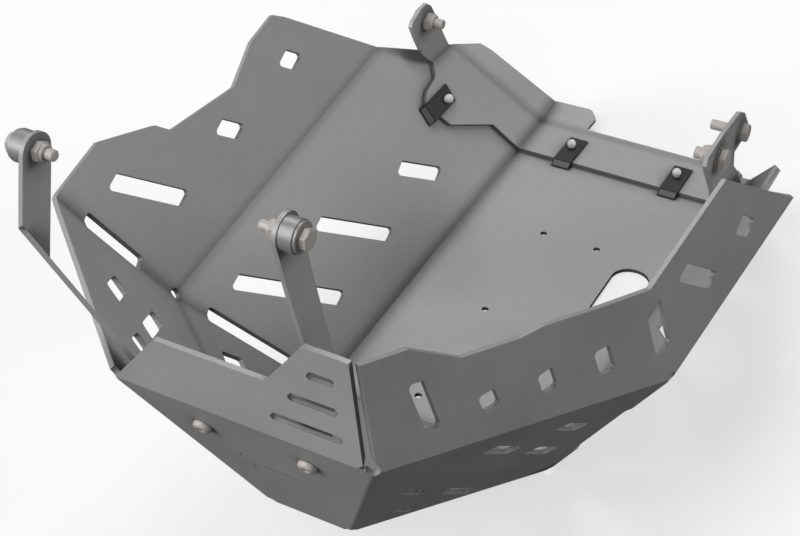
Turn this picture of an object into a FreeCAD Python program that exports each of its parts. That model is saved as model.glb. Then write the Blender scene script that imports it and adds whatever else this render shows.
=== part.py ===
import FreeCAD, Part
import math
import os

# Engine guard of a motorcycle: a folded sheet with a nose at the front, a second sheet over its
# rear end, two bent front brackets and the fasteners that hold it to the frame and the engine.
# Millimetres. +X is the rider's side shown on the right, +Y points to the rear wheel, +Z up.
# The origin is on the centre line, at the middle of the six floor holes, on the underside.
# The sheet is laid out from the front end of the floor and moved to that origin at the end.

Vec = FreeCAD.Vector
doc = FreeCAD.newDocument("engine_guard")
sheet = doc.addObject("Spreadsheet::Sheet", "Sizes")

SIZES = [
    ("sheet_thickness", 4, "thickness of the folded sheet"),
    ("floor_half_front", 110, "half width of the floor at its front fold"),
    ("floor_half_rear", 120, "half width of the floor at its rear end"),
    ("floor_length", 470, "length of the floor"),
    ("nose_low_half", 35, "half width of the nose at its lower fold"),
    ("nose_low_forward", 197, "how far the lower fold of the nose lies ahead"),
    ("nose_low_height", 79, "height of the lower fold of the nose"),
    ("nose_top_half", 101, "half width of the nose at its top fold"),
    ("nose_top_forward", 270, "how far the top fold of the nose lies ahead"),
    ("nose_top_height", 237, "height of the top fold of the nose"),
    ("slope_front_half", 199.3, "half width over the slopes at the left knee"),
    ("slope_front_height", 133.8, "height of the left knee"),
    ("slope_rear_half", 225.8, "half width over the slopes at the left tail"),
    ("left_knee_forward", 84, "how far the left knee lies ahead"),
    ("left_tail_back", 309, "how far back the left wall ends"),
    ("right_knee_back", 4, "how far back the right knee lies"),
    ("right_tail_back", 255, "how far back the right wall ends"),
    ("left_peak_forward", 151, "how far the front tip of the left wall lies ahead"),
    ("left_peak_height", 261, "height of the front tip of the left wall"),
    ("right_fold_half", 187.5, "half width at the top of the fold of the right wall"),
    ("right_fold_forward", 19, "how far the top of that fold lies ahead"),
    ("right_fold_height", 237.5, "height of the top of that fold"),
    ("seam_height", 87.5, "height of the open seam between visor and right wall"),
    ("visor_low_height", 48, "height of the low part of the visor"),
    ("visor_corner_cut", 4, "size of the cut at the lower right corner of the visor"),
    ("peak_flat_drop", 1, "how far the front tip of the left wall is cut back along its fold"),
    ("bend_radius", 5, "outer radius of a fold"),
    ("relief_radius", 5, "radius of the relief where folds meet"),
    ("seam_gap", 4, "open gap between visor and right front wall"),
    ("seam_setback", 3, "how far the right front wall stands back from its corner at that gap"),
    ("slot_width", 15, "width of the slanted slots of walls and slopes"),
    ("slot_corner", 3, "corner radius of the slots"),
    ("floor_hole_radius", 3.3, "radius of the six holes of the floor"),
    ("floor_hole_half_gap", 29, "half the distance between the two columns of holes"),
    ("floor_hole_first", 27, "how far back the first row of holes lies"),
    ("floor_hole_pitch", 135, "distance between the rows of holes"),
    ("drain_width", 38, "width of the drain opening"),
    ("drain_length", 94, "length of the drain opening"),
    ("drain_side", 77, "distance of the drain opening from the centre line"),
    ("drain_middle", 237, "how far back the middle of the drain opening lies"),
    ("louvre_height", 7, "height of the louvres of the visor"),
    ("groove_depth", 0.8, "depth of the two plain grooves of the nose"),
    ("nose_screw_side", 41.5, "distance of the nose screws from the centre line"),
    ("nose_screw_drop", 36, "distance of the nose screws below the top fold"),
    ("nose_screw_radius", 4, "radius of the nose screws"),
    ("plate_front", 422, "how far back the front edge of the rear plate lies"),
    ("plate_rear", 484, "how far back the rear fold of the rear plate lies"),
    ("flange_angle", 15, "upward angle of the rear flange of the rear plate"),
    ("left_lug_height", 78, "height of the left lug above its fold"),
    ("right_lug_side", 132, "distance of the right lug from the centre line"),
    ("front_bolt_radius", 4, "radius of the bolts of the front brackets"),
    ("front_head_width", 13, "width across the flats of those bolts"),
    ("front_head_height", 5.3, "height of the heads of those bolts"),
    ("front_nut_height", 8, "height of the nuts of those bolts"),
    ("bolt_radius", 5, "radius of the left rear bolt and the upper right one"),
    ("bolt_head_width", 17, "width across the flats of those bolts"),
    ("bolt_head_height", 6.4, "height of the heads of those bolts"),
    ("nut_height", 10, "height of the nut of the left rear bolt"),
    ("rear_bolt_radius", 6, "radius of the lower right rear bolt"),
    ("rear_head_width", 19, "width across the flats of that bolt"),
    ("rear_head_height", 7.5, "height of the head of that bolt"),
    ("rear_nut_height", 12, "height of the nut of that bolt"),
    ("upper_bolt_end", 25, "length of the free end of the upper right rear bolt"),
    ("washer_radius", 10.5, "outer radius of the washers"),
    ("rear_washer_radius", 12, "outer radius of the washer of the lower right rear bolt"),
    ("washer_thickness", 2, "thickness of the washers"),
    ("stud_tip", 6.5, "length of bolt that stands out of a nut"),
    ("lug_stud_tip", 9, "length of bolt that stands out of the nut of the left rear bolt"),
    ("pilot_step", 0.2, "how much less the radius of a bolt's smooth end is"),
    ("pilot_gap", 0.5, "distance from a nut or lug to that smooth end"),
    ("spacer_radius", 11.3, "outer radius of the spacers of the front brackets"),
    ("spacer_length", 10, "length of the spacers of the front brackets"),
    ("hole_clearance", 0.3, "radial clearance of the holes round bolts"),
    ("bar_width", 27, "width of the front brackets"),
    ("bar_end", 12, "distance from a front bolt to the end of its bracket"),
    ("bar_thickness", 3.5, "thickness of the front brackets"),
    ("left_bar_lean", 15, "backward lean of the left front bracket in degrees"),
    ("left_bend_drop", 67, "distance of the bend of that bracket below its bolt"),
    ("left_foot_reach", 31, "distance from the nose screw to the outer end of its foot"),
    ("right_bar_lean", 6.5, "forward lean of the top of the right front bracket in degrees"),
    ("foot_margin", 13, "distance from a nose screw to the free end of its foot"),
    ("left_bar_side", 154, "distance of the left front bracket from the centre line"),
    ("left_bolt_forward", 248, "how far the left front bolt lies ahead"),
    ("left_bolt_height", 390, "height of the left front bolt"),
    ("right_bar_side", 28, "distance of the right front bracket from the centre line"),
    ("right_bolt_forward", 244, "how far the right front bolt lies ahead"),
    ("right_bolt_height", 385, "height of the right front bolt"),
    ("nose_nut_width", 13, "width across the flats of the nuts behind the nose"),
    ("nose_nut_height", 6.5, "height of the nuts behind the nose"),
    ("nose_screw_tip", 2, "length of the nose screws that stands out of their nuts"),
    ("clip_screw_radius", 2.5, "radius of the clip screws"),
    ("dome_radius", 4.7, "radius of the domed heads of the clip screws"),
    ("dome_height", 4, "height of the straight part of those heads"),
    ("clip_width", 20, "width of the edge clips"),
    ("clip_length", 47, "length of the edge clips"),
    ("clip_thickness", 1.5, "thickness of the edge clips"),
]

for row, (alias, value, note) in enumerate(SIZES, start=1):
    sheet.set("A%d" % row, alias)
    sheet.set("B%d" % row, str(value))
    sheet.setAlias("B%d" % row, alias)
    sheet.set("C%d" % row, note)
doc.recompute()


def size(alias):
    return float(getattr(sheet, alias))


# Small geometry helpers

INSIDE = Vec(0, 0.13 * size("floor_length"), 0.76 * size("nose_top_height"))


def plane_normal(corner_one, corner_two, corner_three):
    """Unit normal of a plane, pointing out of the guard."""
    normal = (corner_two - corner_one).cross(corner_three - corner_one)
    normal.normalize()
    if normal.dot(INSIDE - corner_one) > 0:
        normal = normal * -1
    return normal


def on_plane_x(origin, normal, y, z):
    """Point of a plane with the given y and z."""
    x = origin.x - (normal.y * (y - origin.y) + normal.z * (z - origin.z)) / normal.x
    return Vec(x, y, z)


def mirrored(point):
    return Vec(-point.x, point.y, point.z)


class Frame:
    """Flat working frame: origin, direction along, direction across, and outward normal."""

    def __init__(self, origin, along, toward):
        self.origin = origin
        self.along = (along - origin).normalize()
        across = toward - origin
        across = across - self.along * across.dot(self.along)
        self.across = across.normalize()
        self.out = self.along.cross(self.across)
        if self.out.dot(INSIDE - origin) > 0:
            self.out = self.out * -1

    def point(self, u, v, depth=0.0):
        return self.origin + self.along * u + self.across * v - self.out * depth

    def prism(self, outline, top, bottom):
        """Solid between two depths over an outline of (u, v) points."""
        points = [self.point(u, v, top) for u, v in outline]
        face = Part.Face(Part.makePolygon(points + points[:1]))
        return face.extrude(self.out * (top - bottom))

    def rod(self, u, v, radius, top, bottom):
        return Part.makeCylinder(radius, bottom - top, self.point(u, v, top), self.out * -1)


def rounded(prism, direction, radius):
    """Prism with the edges that run in one direction rounded."""
    edges = []
    for edge in prism.Edges:
        ends = edge.Vertexes[-1].Point - edge.Vertexes[0].Point
        if abs(abs(ends.normalize().dot(direction)) - 1) < 1e-6:
            edges.append(edge)
    return prism.makeFillet(radius, edges)


def slanted_slot(frame, slot, thickness, corner):
    """Cutter for a parallelogram slot: centre, length, width, angle and skew of its ends."""
    u, v, length, width, angle, skew = slot
    turn = math.radians(angle)
    margin = 1.5 * thickness
    outline = []
    for along, across in ((-1, -1), (1, -1), (1, 1), (-1, 1)):
        a = along * length / 2 + across * skew / 2
        b = across * width / 2
        outline.append((u + a * math.cos(turn) - b * math.sin(turn),
                        v + a * math.sin(turn) + b * math.cos(turn)))
    prism = frame.prism(outline, -margin, thickness + margin)
    return rounded(prism, frame.out, min(corner, 0.4 * width))


class Panel:
    """Flat area of a folded sheet. Corners lie on its outer face, in order round it.

    folds names, for each edge that is folded, the panel beyond it."""

    def __init__(self, corners, normal, folds):
        self.corners = corners
        self.normal = normal
        self.folds = folds

    def middle(self):
        total = Vec(0, 0, 0)
        for corner in self.corners:
            total = total + corner
        return total * (1.0 / len(self.corners))


def panel_solid(panel, panels, thickness):
    """Panel of full thickness with mitred faces along its folds."""
    count = len(panel.corners)
    lines = []
    for index in range(count):
        start = panel.corners[index]
        direction = (panel.corners[(index + 1) % count] - start).normalize()
        inward = panel.normal.cross(direction)
        if inward.dot(panel.middle() - start) < 0:
            inward = inward * -1
        shift = 0.0
        if index in panel.folds:
            other = panels[panel.folds[index]]
            turn = panel.normal.getAngle(other.normal)
            convex = (other.middle() - start).dot(panel.normal) < 0
            shift = thickness * math.tan(turn / 2) * (1 if convex else -1)
        lines.append((start + inward * shift, direction, inward))
    inner = []
    for index in range(count):
        before_point, before_direction, before_inward = lines[index - 1]
        point, direction, inward = lines[index]
        reach = (before_point - point).dot(before_inward) / direction.dot(before_inward)
        inner.append(point + direction * reach - panel.normal * thickness)
    outer = panel.corners
    faces = [Part.Face(Part.makePolygon(outer + outer[:1])),
             Part.Face(Part.makePolygon(inner + inner[:1]))]
    for index in range(count):
        after = (index + 1) % count
        side = [outer[index], outer[after], inner[after], inner[index], outer[index]]
        faces.append(Part.Face(Part.makePolygon(side)))
    solid = Part.makeSolid(Part.makeShell(faces))
    if solid.Volume < 0:
        solid.reverse()
    return solid


def folded(panels, thickness):
    """All panels of one sheet joined to a single solid."""
    solids = [panel_solid(panel, panels, thickness) for panel in panels.values()]
    joined = solids[0].fuse(solids[1:])
    return joined.removeSplitter()


def single(shape):
    """The one solid of a boolean's result."""
    return shape.Solids[0] if len(shape.Solids) == 1 else shape


# Corners of the guard, all on its outer face

thick = size("sheet_thickness")
floor_front = size("floor_half_front")
floor_rear = size("floor_half_rear")
floor_length = size("floor_length")

heel_left = Vec(-floor_front, 0, 0)
heel_right = mirrored(heel_left)
floor_end_left = Vec(-floor_rear, floor_length, 0)
floor_end_right = mirrored(floor_end_left)
chin_left = Vec(-size("nose_low_half"), -size("nose_low_forward"), size("nose_low_height"))
chin_right = mirrored(chin_left)
brow_left = Vec(-size("nose_top_half"), -size("nose_top_forward"), size("nose_top_height"))
brow_right = mirrored(brow_left)
knee_left = Vec(-size("slope_front_half"), -size("left_knee_forward"), size("slope_front_height"))

slope_normal = plane_normal(heel_left, floor_end_left, knee_left)


def on_side_fold(y):
    """Point at a given y on the left fold between slope and wall."""
    reach = (y - knee_left.y) / (size("left_tail_back") - knee_left.y)
    x = knee_left.x + reach * (-size("slope_rear_half") - knee_left.x)
    z = heel_left.z - (slope_normal.x * (x - heel_left.x) + slope_normal.y * y) / slope_normal.z
    return Vec(x, y, z)


tail_left = on_side_fold(size("left_tail_back"))
knee_right = mirrored(on_side_fold(size("right_knee_back")))
tail_right = mirrored(on_side_fold(size("right_tail_back")))

left_front_normal = plane_normal(brow_left, chin_left, knee_left)
peak_left = on_plane_x(knee_left, left_front_normal, -size("left_peak_forward"), size("left_peak_height"))
fold_right = Vec(size("right_fold_half"), -size("right_fold_forward"), size("right_fold_height"))
right_front_normal = plane_normal(brow_right, knee_right, fold_right)
seam_right = on_plane_x(brow_right, right_front_normal, brow_right.y - 1.0, brow_right.z + size("seam_height"))

# Working frames of the panels

slope_left = Frame(heel_left, floor_end_left, knee_left)
slope_right = Frame(heel_right, floor_end_right, knee_right)
wall_left = Frame(knee_left, tail_left, peak_left)
front_left = Frame(knee_left, chin_left, brow_left)
gusset_left = Frame(heel_left, knee_left, chin_left)
front_right = Frame(brow_right, knee_right, fold_right)
rear_right = Frame(knee_right, tail_right, fold_right)
facet_upper = Frame(heel_right, brow_right, knee_right)
facet_lower = Frame(heel_right, brow_right, chin_right)
brow_middle = (brow_left + brow_right) * 0.5
chin_middle = (chin_left + chin_right) * 0.5
nose = Frame(brow_middle, brow_right, chin_middle)
visor = Frame(brow_middle, brow_right, brow_middle + Vec(0, -1.0, size("seam_height")))
floor = Frame(Vec(0, 0, 0), Vec(1, 0, 0), Vec(0, 1, 0))

# Outlines of the free edges, along and across each panel's own fold

WALL_LEFT_TOP = [(9, 147), (72, 121), (86, 107), (177, 91), (224, 109), (266, 112), (280, 102)]
FRONT_RIGHT_TOP = [(11, 85), (61, 69), (116, 72), (139, 77), (196, 80)]
REAR_RIGHT_TOP = [(121, 105.6)]
SLOPE_LEFT_END = (385, 150)
SLOPE_RIGHT_END = [(352, 105), (399, 102)]
VISOR_EDGE_LEAN = 6
VISOR_TOP = [(-60, 1.0), (25, 1.0), (48, 1.65), (54, 1.83), (80, 1.83)]


def frame_points(frame, outline):
    return [frame.point(u, v) for u, v in outline]


def guard_panels():
    visor_low = size("visor_low_height")
    visor_start = brow_left.x + size("relief_radius") / 2
    visor_edge = brow_right.x - thick - size("seam_gap")
    corner_cut = size("visor_corner_cut")
    visor_top = [(u, v * visor_low) for u, v in VISOR_TOP]
    visor_outline = [(visor_start, 0)] + visor_top
    visor_outline += [(visor_edge - VISOR_EDGE_LEAN, size("seam_height")), (visor_edge, corner_cut),
                      (visor_edge - corner_cut, 0)]
    slope_end_left = [slope_left.point(SLOPE_LEFT_END[0], SLOPE_LEFT_END[1])]
    slope_end_right = frame_points(slope_right, SLOPE_RIGHT_END)
    normal = plane_normal
    panels = {}
    panels["floor"] = Panel([heel_left, floor_end_left, floor_end_right, heel_right],
                            Vec(0, 0, -1), {0: "slope_left", 2: "slope_right", 3: "ramp"})
    panels["slope_left"] = Panel([heel_left, knee_left, tail_left] + slope_end_left + [floor_end_left],
                                 slope_left.out, {0: "gusset_left", 1: "wall_left", 4: "floor"})
    panels["slope_right"] = Panel([heel_right, knee_right, tail_right] + slope_end_right + [floor_end_right],
                                  slope_right.out, {0: "facet_upper", 1: "rear_right", 5: "floor"})
    panels["wall_left"] = Panel([tail_left, knee_left, peak_left] + frame_points(wall_left, WALL_LEFT_TOP),
                                wall_left.out, {0: "slope_left", 1: "front_left"})
    panels["front_left"] = Panel([knee_left, peak_left, brow_left, chin_left],
                                 front_left.out, {0: "wall_left", 2: "nose", 3: "gusset_left"})
    panels["gusset_left"] = Panel([heel_left, knee_left, chin_left],
                                  gusset_left.out, {0: "slope_left", 1: "front_left", 2: "ramp"})
    panels["ramp"] = Panel([heel_left, chin_left, chin_right, heel_right],
                           normal(heel_left, chin_left, heel_right),
                           {0: "gusset_left", 1: "nose", 2: "facet_lower", 3: "floor"})
    panels["nose"] = Panel([brow_left, brow_right, chin_right, chin_left],
                           nose.out, {0: "visor", 1: "facet_lower", 2: "ramp", 3: "front_left"})
    panels["visor"] = Panel(frame_points(visor, visor_outline), visor.out, {len(visor_outline) - 1: "nose"})
    panels["facet_lower"] = Panel([heel_right, chin_right, brow_right],
                                  facet_lower.out, {0: "ramp", 1: "nose", 2: "facet_upper"})
    panels["facet_upper"] = Panel([heel_right, brow_right, knee_right],
                                  facet_upper.out, {0: "facet_lower", 1: "front_right", 2: "slope_right"})
    setback = front_right.along * size("seam_setback")
    panels["front_right"] = Panel([knee_right, brow_right + setback, seam_right + setback]
                                  + frame_points(front_right, FRONT_RIGHT_TOP) + [fold_right],
                                  front_right.out, {0: "facet_upper", 8: "rear_right"})
    panels["rear_right"] = Panel([tail_right, knee_right, fold_right]
                                 + frame_points(rear_right, REAR_RIGHT_TOP),
                                 rear_right.out, {0: "slope_right", 1: "front_right"})
    return panels


panels = guard_panels()
guard = folded(panels, thick)

# Reliefs where several folds meet, and the rounding of the folds


def folded_normals(point):
    """Normals of the panels that meet at a corner."""
    return [panel.normal for panel in panels.values()
            if min((corner - point).Length for corner in panel.corners) < 1e-6]


def corner_relief(point):
    """Cutter along the mean of the faces that meet at a corner."""
    mean = Vec(0, 0, 0)
    for normal in folded_normals(point):
        mean = mean + normal
    mean.normalize()
    depth = 4 * thick
    return Part.makeCylinder(size("relief_radius"), 2 * depth, point + mean * depth, mean * -1)


def peak_cutter():
    """Cutter that squares the upper end of the fold at the front tip of the left wall."""
    direction = (peak_left - knee_left).normalize()
    start = peak_left - direction * size("peak_flat_drop")
    return Part.makeCylinder(5 * thick, 5 * thick, start, direction)


CORNERS = [heel_left, heel_right, knee_left, knee_right, chin_left, chin_right, brow_left, brow_right]
guard = guard.cut([corner_relief(point) for point in CORNERS] + [peak_cutter()])


def fold_line(name, other_name, inner):
    """A point and the direction of the fold between two panels, on the outer or the inner face."""
    panel = panels[name]
    other = panels[other_name]
    index = [key for key, value in panel.folds.items() if value == other_name][0]
    start = panel.corners[index]
    direction = (panel.corners[(index + 1) % len(panel.corners)] - start).normalize()
    if inner:
        mean = (panel.normal + other.normal).normalize()
        start = start - mean * (thick / math.cos(panel.normal.getAngle(other.normal) / 2))
    return start, direction


def fold_edges(shape, pairs, inner):
    """Edges of a shape that lie along the folds of the given pairs of panels."""
    found = []
    for name, other_name in pairs:
        start, direction = fold_line(name, other_name, inner)
        for edge in shape.Edges:
            away = [(vertex.Point - start).cross(direction).Length for vertex in edge.Vertexes]
            if max(away) < 1e-4 and edge.Length > 12:
                found.append(edge)
    return found


OUTER_FOLDS = [("floor", "slope_left"), ("floor", "slope_right"), ("slope_left", "gusset_left"),
               ("slope_left", "wall_left"), ("slope_right", "rear_right"), ("wall_left", "front_left"),
               ("front_left", "nose"), ("front_left", "gusset_left"), ("gusset_left", "ramp"),
               ("ramp", "nose"), ("ramp", "facet_lower"), ("nose", "facet_lower")]
INNER_FOLDS = OUTER_FOLDS + [("floor", "ramp"), ("nose", "visor"), ("slope_right", "facet_upper"),
                             ("facet_upper", "front_right"), ("front_right", "rear_right")]
guard = guard.makeFillet(size("bend_radius"), fold_edges(guard, OUTER_FOLDS, False))
guard = guard.makeFillet(size("bend_radius") - thick, fold_edges(guard, INNER_FOLDS, True))

# Openings of the guard: centre, length, width, angle and skew of each slanted slot

slot_width = size("slot_width")
SLOTS = [
    (wall_left, (33, 84, 86, slot_width, -45, 9)),
    (wall_left, (149, 66, 30, slot_width, -43, 10)),
    (wall_left, (262, 67, 24, slot_width + 2, -42, 12)),
    (front_left, (46, 112, 29, 17, 48, -4)),
    (front_left, (67, 77, 42, 15, 50, -6)),
    (front_left, (101, 117, 20, 13, 51, -2)),
    (gusset_left, (123, 48, 25, 18, 15, 1)),
    (slope_left, (29, 89, 129, slot_width, -42, 11)),
    (slope_left, (141, 82, 97, slot_width, -40, 11)),
    (slope_left, (265, 72, 60, slot_width + 1, -38, 11)),
    (slope_right, (141, 82, 94, slot_width, -40, 11)),
    (slope_right, (265, 72, 56, slot_width, -38, 11)),
    (front_right, (35, 40, 46, 12, -57, 7)),
    (front_right, (97, 30, 17, 14, -53, 6)),
    (front_right, (155, 32, 20, 14, -55, 4)),
    (front_right, (216, 35, 26, 15, -55, 6)),
    (rear_right, (59, 56, 66, 15, -42, 11)),
    (rear_right, (149, 41, 29, 17, -41, 10)),
    (facet_lower, (229, 31, 41, 9, -2, -5)),
    (facet_lower, (133, 34, 60, 11, -2, -4)),
    (facet_lower, (181, 62, 36, 10, -2, -6)),
    (facet_upper, (200, 33, 55, 12, 0, -13)),
    (facet_upper, (108, 33, 52, 12, 0, -9)),
    (facet_upper, (132, 69, 48, 12, -1, -9)),
]

# Slots across a fold: the two panels, the corner the fold starts from, and the reach, length and width
FOLD_SLOTS = [
    ("wall_left", "front_left", knee_left, 82, 69, slot_width),
    ("slope_left", "gusset_left", heel_left, 96, 98, slot_width),
    ("front_right", "rear_right", knee_right, 58, 47, slot_width + 4),
    ("slope_right", "facet_upper", heel_right, 80, 75, slot_width),
]


def fold_slot(name, other_name, corner, reach, length, width):
    """Cutter of a slot that runs along a fold."""
    start, direction = fold_line(name, other_name, False)
    middle = (panels[name].middle() + panels[other_name].middle()) * 0.5
    if (middle - corner).dot(direction) < 0:
        direction = direction * -1
    mean = (panels[name].normal + panels[other_name].normal).normalize()
    side = mean.cross(direction)
    frame = Frame(corner, corner + direction, corner + side)
    return slanted_slot(frame, (reach, 0, length, width, 0, 0), 3 * thick, size("slot_corner"))


def floor_openings():
    """The six holes of the floor and its drain opening."""
    cutters = []
    for row in range(3):
        for side in (-1, 1):
            along = side * size("floor_hole_half_gap")
            back = size("floor_hole_first") + row * size("floor_hole_pitch")
            cutters.append(floor.rod(along, back, size("floor_hole_radius"), -1, thick + 1))
    half = size("drain_width") / 2
    straight = size("drain_length") / 2 - half
    middle = size("drain_middle")
    side = size("drain_side")
    cutters.append(floor.rod(side, middle - straight, half, -1, thick + 1))
    cutters.append(floor.rod(side, middle + straight, half, -1, thick + 1))
    block = [(side - half, middle - straight), (side + half, middle - straight),
             (side + half, middle + straight), (side - half, middle + straight)]
    cutters.append(floor.prism(block, -1, thick + 1))
    return cutters


def nose_openings():
    """Louvres of the visor, plain grooves of the nose and the holes of its two screws."""
    cutters = []
    height = size("louvre_height")
    for u, v, length in ((66, 66, 20), (59, 42, 37), (53, 19, 54)):
        cutters.append(slanted_slot(visor, (u, v, length, height, 0, 5), thick, size("slot_corner")))
    for v, length in ((74, 52), (92, 40)):
        half = length / 2
        outline = [(-half, v - 1.5), (half, v - 1.5), (half, v + 1.5), (-half, v + 1.5)]
        cutters.append(nose.prism(outline, -1, size("groove_depth")))
    radius = size("nose_screw_radius") + size("hole_clearance")
    for side in (-1, 1):
        cutters.append(nose.rod(side * size("nose_screw_side"), size("nose_screw_drop"), radius, -1, thick + 1))
    return cutters


cutters = [slanted_slot(frame, slot, thick, size("slot_corner")) for frame, slot in SLOTS]
cutters += [fold_slot(*entry) for entry in FOLD_SLOTS]
cutters += floor_openings() + nose_openings()
guard = single(guard.cut(cutters))

# Rear plate: a second folded sheet on the inner faces of floor and slopes, with a lug on each side

bend_shift = thick * math.tan(slope_left.out.getAngle(floor.out) / 2)
plate_front_left = slope_left.point(size("plate_front"), bend_shift, thick)
plate_rear_left = slope_left.point(size("plate_rear"), bend_shift, thick)
plate_front_right = mirrored(plate_front_left)
plate_rear_right = mirrored(plate_rear_left)

WING_LEFT = [(403, 46), (341, 82), (334, 96), (324, 119), (336, 126), (361, 130), (370, 144), (415, 142)]
WING_RIGHT = [(345, 30), (335, 90), (350, 105), (398, 103), (420, 57)]
FLANGE_LOBE = [(-70, 35), (-60, 24), (-63, 5), (112, 5)]
FLANGE_LEFT = [(122, 24), (105, 27)]
LUG_LEFT = [(34, 0.08), (16, 0.42), (-1, 0.77), (-7, 0.88), (-16, 0.96), (-28, 0.95), (-45, 0.86), (-48, 0.8),
            (-38, 0.56), (-22, 0.24)]
LUG_RIGHT = [(345, 25), (313, 99), (280, 146), (285, 154), (329, 155), (376, 151), (393, 141), (412, 118),
             (398, 107), (374, 107), (379, 88), (396, 71), (420, 41), (426, 20)]
LEFT_LUG_BOLT = (-16, 56)
RIGHT_LUG_BOLT = (317, 134)
RIGHT_LUG_UPPER_BOLT = (384, 125)

# Edge clips of the rear plate: name, frame, place across, place of the plate's edge, reach of the screw
CLIPS = [("left", slope_left, 107, 324, 30),
         ("middle", floor, -62.4, size("plate_front"), 26),
         ("right", floor, 58.6, size("plate_front"), 26)]
CLIP_GAP = 2.0
SCREW_OFFSET = -2.0
SKIN_GAP = 0.3

angle = math.radians(size("flange_angle"))
flange = Frame(Vec(0, plate_rear_left.y, thick), Vec(1, plate_rear_left.y, thick),
               Vec(0, plate_rear_left.y + math.cos(angle), thick + math.sin(angle)))
flange_corner = flange.point(plate_rear_left.x + 3, 34)
wing_tip = slope_left.point(WING_LEFT[-1][0], WING_LEFT[-1][1], thick)
lug_start = slope_left.point(WING_LEFT[-2][0], WING_LEFT[-2][1], thick)
flange_side = Frame(plate_rear_left, wing_tip, flange_corner)
lug_left = Frame(lug_start, wing_tip, lug_start + Vec(0, 0, 1))


def at_depth(frame, outline, depth):
    return [frame.point(u, v, depth) for u, v in outline]


def plate_panels():
    lug_height = size("left_lug_height")
    lug_outline = [(u, v * lug_height) for u, v in LUG_LEFT]
    panels = {}
    panels["base"] = Panel([plate_front_left, plate_rear_left, plate_rear_right, plate_front_right],
                           floor.out, {0: "wing_left", 1: "flange", 2: "wing_right"})
    panels["wing_left"] = Panel([plate_front_left] + at_depth(slope_left, WING_LEFT, thick) + [plate_rear_left],
                                slope_left.out, {7: "lug_left", 8: "flange_side", 9: "base"})
    panels["wing_right"] = Panel([plate_front_right] + at_depth(slope_right, WING_RIGHT, thick)
                                 + [plate_rear_right], slope_right.out, {5: "base"})
    panels["flange"] = Panel([plate_rear_left, flange_corner] + at_depth(flange, FLANGE_LOBE, 0)
                             + [plate_rear_right], flange.out, {0: "flange_side", 6: "base"})
    panels["flange_side"] = Panel([plate_rear_left, wing_tip] + at_depth(flange_side, FLANGE_LEFT, 0)
                                  + [flange_corner], flange_side.out, {0: "wing_left", 4: "flange"})
    panels["lug_left"] = Panel([lug_start, wing_tip] + at_depth(lug_left, lug_outline, 0),
                               lug_left.out, {0: "wing_left"})
    return panels


def clip_point(frame, across, along, depth):
    """Point of a clip. The frames of floor and slope run in different directions."""
    return frame.point(across, along, depth) if frame is floor else frame.point(along, across, depth)


# Rounded corners of the rear plate: frame, place along and across, depth and radius
PLATE_CORNERS = [(slope_left, WING_LEFT[0], thick, 6), (slope_left, WING_LEFT[1], thick, 6),
                 (slope_left, WING_LEFT[3], thick, 6), (slope_left, WING_LEFT[4], thick, 6),
                 (slope_left, WING_LEFT[5], thick, 8), (flange, FLANGE_LOBE[0], 0, 9),
                 (flange, FLANGE_LOBE[1], 0, 6), (flange, FLANGE_LOBE[2], 0, 3),
                 (slope_right, WING_RIGHT[1], thick, 6)]


def rounded_corners(plate):
    """Plate with the corners of its free edges rounded."""
    for frame, place, depth, radius in PLATE_CORNERS:
        corner = frame.point(place[0], place[1], depth)
        edges = []
        for edge in plate.Edges:
            start, end = edge.Vertexes[0].Point, edge.Vertexes[-1].Point
            near = min((start - corner).Length, (end - corner).Length)
            if near < 1e-3 and (end - start).cross(frame.out).Length < 1e-3:
                edges.append(edge)
        plate = plate.makeFillet(radius, edges)
    return plate


def right_lug_shape():
    """Upright plate that stands on the right wing of the rear plate."""
    side = size("right_lug_side")
    outline = [Vec(side - thick / 2, y, z) for y, z in LUG_RIGHT]
    lug = Part.Face(Part.makePolygon(outline + outline[:1])).extrude(Vec(thick, 0, 0))
    reach = 2 * size("floor_length")
    below = slope_right.prism([(0, -reach), (reach, -reach), (reach, reach), (0, reach)], -reach, thick)
    return lug.cut(below)


def rear_plate_shape():
    plate = rounded_corners(folded(plate_panels(), thick))
    plate = plate.fuse(right_lug_shape()).removeSplitter().cut(guard)
    side = size("right_lug_side")
    gap = size("hole_clearance")
    cutters = [lug_left.rod(LEFT_LUG_BOLT[0], LEFT_LUG_BOLT[1], size("bolt_radius") + gap, -thick, 3 * thick)]
    for place, radius in ((RIGHT_LUG_BOLT, size("rear_bolt_radius")),
                          (RIGHT_LUG_UPPER_BOLT, size("bolt_radius"))):
        start = Vec(side - 2 * thick, place[0], place[1])
        cutters.append(Part.makeCylinder(radius + gap, 4 * thick, start, Vec(1, 0, 0)))
    for name, frame, across, edge, reach in CLIPS:
        start = clip_point(frame, across + SCREW_OFFSET, edge + reach, 0)
        cutters.append(Part.makeCylinder(size("clip_screw_radius"), 3 * thick, start, frame.out * -1))
    return single(plate.cut(cutters))


# Front brackets: bent bars, each with a foot on the inner face of the nose


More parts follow.
